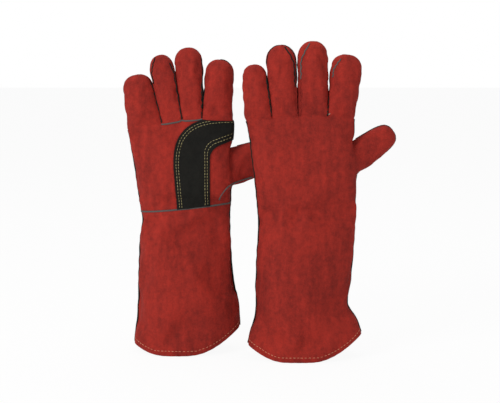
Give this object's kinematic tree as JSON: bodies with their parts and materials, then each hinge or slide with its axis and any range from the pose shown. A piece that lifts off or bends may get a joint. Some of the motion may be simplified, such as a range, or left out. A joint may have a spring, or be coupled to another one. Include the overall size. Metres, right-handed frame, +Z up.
{
  "type": "welding gloves",
  "caption": "Long-cuff split leather welding gauntlets standing on their hems, with lined cuffs and a bending wrist, thumb and fingers.",
  "frame": {"origin": "middle of the pair at floor level, under the centre of the overall box", "axes": "+Z up along the fingers, +X from the right-hand glove to the left-hand glove, +Y away from the side the pair is looked at from; the right glove's palm faces -Y and the left glove's palm faces +Y"},
  "size_m": [0.351, 0.116, 0.4077],
  "materials": {
    "red_leather": "napped split leather, matt",
    "black_leather": "napped split leather, matt",
    "welt_leather": "dark grey leather strip, matt",
    "lining_fabric": "undyed cotton, brushed"
  },
  "bodies": {
    "right_gauntlet": {"right_gauntlet_palm_panel": "red_leather", "right_gauntlet_back_panel": "red_leather", "right_gauntlet_lining": "lining_fabric", "right_gauntlet_side_welts": "welt_leather", "right_wrist_welt": "welt_leather"},
    "right_hand": {"right_palm_panel": "red_leather", "right_back_panel": "red_leather", "right_hand_lining": "lining_fabric", "right_hand_side_welts": "welt_leather", "right_reinforcement_patch": "black_leather", "right_thumb_gusset": "red_leather"},
    "right_index": {"right_index_palm_panel": "red_leather", "right_index_back_panel": "red_leather", "right_index_fourchette": "red_leather", "right_index_lining": "lining_fabric"},
    "right_middle": {"right_middle_palm_panel": "red_leather", "right_middle_back_panel": "red_leather", "right_middle_fourchette": "red_leather", "right_middle_lining": "lining_fabric"},
    "right_ring": {"right_ring_palm_panel": "red_leather", "right_ring_back_panel": "red_leather", "right_ring_fourchette": "red_leather", "right_ring_lining": "lining_fabric"},
    "right_little": {"right_little_palm_panel": "red_leather", "right_little_back_panel": "red_leather", "right_little_fourchette": "red_leather", "right_little_lining": "lining_fabric"},
    "right_thumb": {"right_thumb_palm_panel": "red_leather", "right_thumb_back_panel": "red_leather", "right_thumb_lining": "lining_fabric"},
    "left_gauntlet": {"left_gauntlet_palm_panel": "red_leather", "left_gauntlet_back_panel": "red_leather", "left_gauntlet_lining": "lining_fabric", "left_gauntlet_side_welts": "welt_leather", "left_wrist_welt": "welt_leather"},
    "left_hand": {"left_palm_panel": "red_leather", "left_back_panel": "red_leather", "left_hand_lining": "lining_fabric", "left_hand_side_welts": "welt_leather", "left_reinforcement_patch": "black_leather", "left_thumb_gusset": "red_leather"},
    "left_index": {"left_index_palm_panel": "red_leather", "left_index_back_panel": "red_leather", "left_index_fourchette": "red_leather", "left_index_lining": "lining_fabric"},
    "left_middle": {"left_middle_palm_panel": "red_leather", "left_middle_back_panel": "red_leather", "left_middle_fourchette": "red_leather", "left_middle_lining": "lining_fabric"},
    "left_ring": {"left_ring_palm_panel": "red_leather", "left_ring_back_panel": "red_leather", "left_ring_fourchette": "red_leather", "left_ring_lining": "lining_fabric"},
    "left_little": {"left_little_palm_panel": "red_leather", "left_little_back_panel": "red_leather", "left_little_fourchette": "red_leather", "left_little_lining": "lining_fabric"},
    "left_thumb": {"left_thumb_palm_panel": "red_leather", "left_thumb_back_panel": "red_leather", "left_thumb_lining": "lining_fabric"}
  },
  "joints": [
    {"name": "right_wrist_bend", "type": "hinge", "parent": "right_gauntlet", "child": "right_hand", "pos_m": [-0.0995, 0.044, 0.1914], "axis": [-0.9951, 0, -0.0993], "range_deg": [0, 45]},
    {"name": "right_index_bend", "type": "hinge", "parent": "right_hand", "child": "right_index", "pos_m": [-0.0576, -0.00077, 0.30644], "axis": [0.9959, 0, 0.0907], "range_deg": [0, 80]},
    {"name": "right_middle_bend", "type": "hinge", "parent": "right_hand", "child": "right_middle", "pos_m": [-0.08946, -0.0007, 0.30698], "axis": [0.9959, 0, 0.0907], "range_deg": [0, 80]},
    {"name": "right_ring_bend", "type": "hinge", "parent": "right_hand", "child": "right_ring", "pos_m": [-0.11452, -0.001, 0.30377], "axis": [0.991, 0, 0.1337], "range_deg": [0, 80]},
    {"name": "right_little_bend", "type": "hinge", "parent": "right_hand", "child": "right_little", "pos_m": [-0.1488, -0.00157, 0.29721], "axis": [0.9833, 0, 0.1822], "range_deg": [0, 80]},
    {"name": "right_thumb_bend", "type": "hinge", "parent": "right_hand", "child": "right_thumb", "pos_m": [-0.0377, 0.021, 0.26656], "axis": [0, -1, 0], "range_deg": [0, 45]},
    {"name": "left_wrist_bend", "type": "hinge", "parent": "left_gauntlet", "child": "left_hand", "pos_m": [0.0572, -0.042, 0.1914], "axis": [0.9951, 0, 0.0993], "range_deg": [0, 45]},
    {"name": "left_index_bend", "type": "hinge", "parent": "left_hand", "child": "left_index", "pos_m": [0.10075, 0.00092, 0.30983], "axis": [-0.9999, 0, -0.0123], "range_deg": [0, 80]},
    {"name": "left_middle_bend", "type": "hinge", "parent": "left_hand", "child": "left_middle", "pos_m": [0.06421, 0.00074, 0.31197], "axis": [-0.9999, 0, -0.0123], "range_deg": [0, 80]},
    {"name": "left_ring_bend", "type": "hinge", "parent": "left_hand", "child": "left_ring", "pos_m": [0.02884, 0.00081, 0.3108], "axis": [-0.9999, 0, -0.0123], "range_deg": [0, 80]},
    {"name": "left_little_bend", "type": "hinge", "parent": "left_hand", "child": "left_little", "pos_m": [-0.00363, 0.00101, 0.30782], "axis": [-0.9999, 0, -0.0123], "range_deg": [0, 80]},
    {"name": "left_thumb_bend", "type": "hinge", "parent": "left_hand", "child": "left_thumb", "pos_m": [0.1213, -0.012, 0.28324], "axis": [0, -1, 0], "range_deg": [0, 40]},
    {"name": "pair_spread", "type": "slide", "parent": "right_gauntlet", "child": "left_gauntlet", "axis": [1, 0, 0], "range_m": [0, 0.15]}
  ]
}
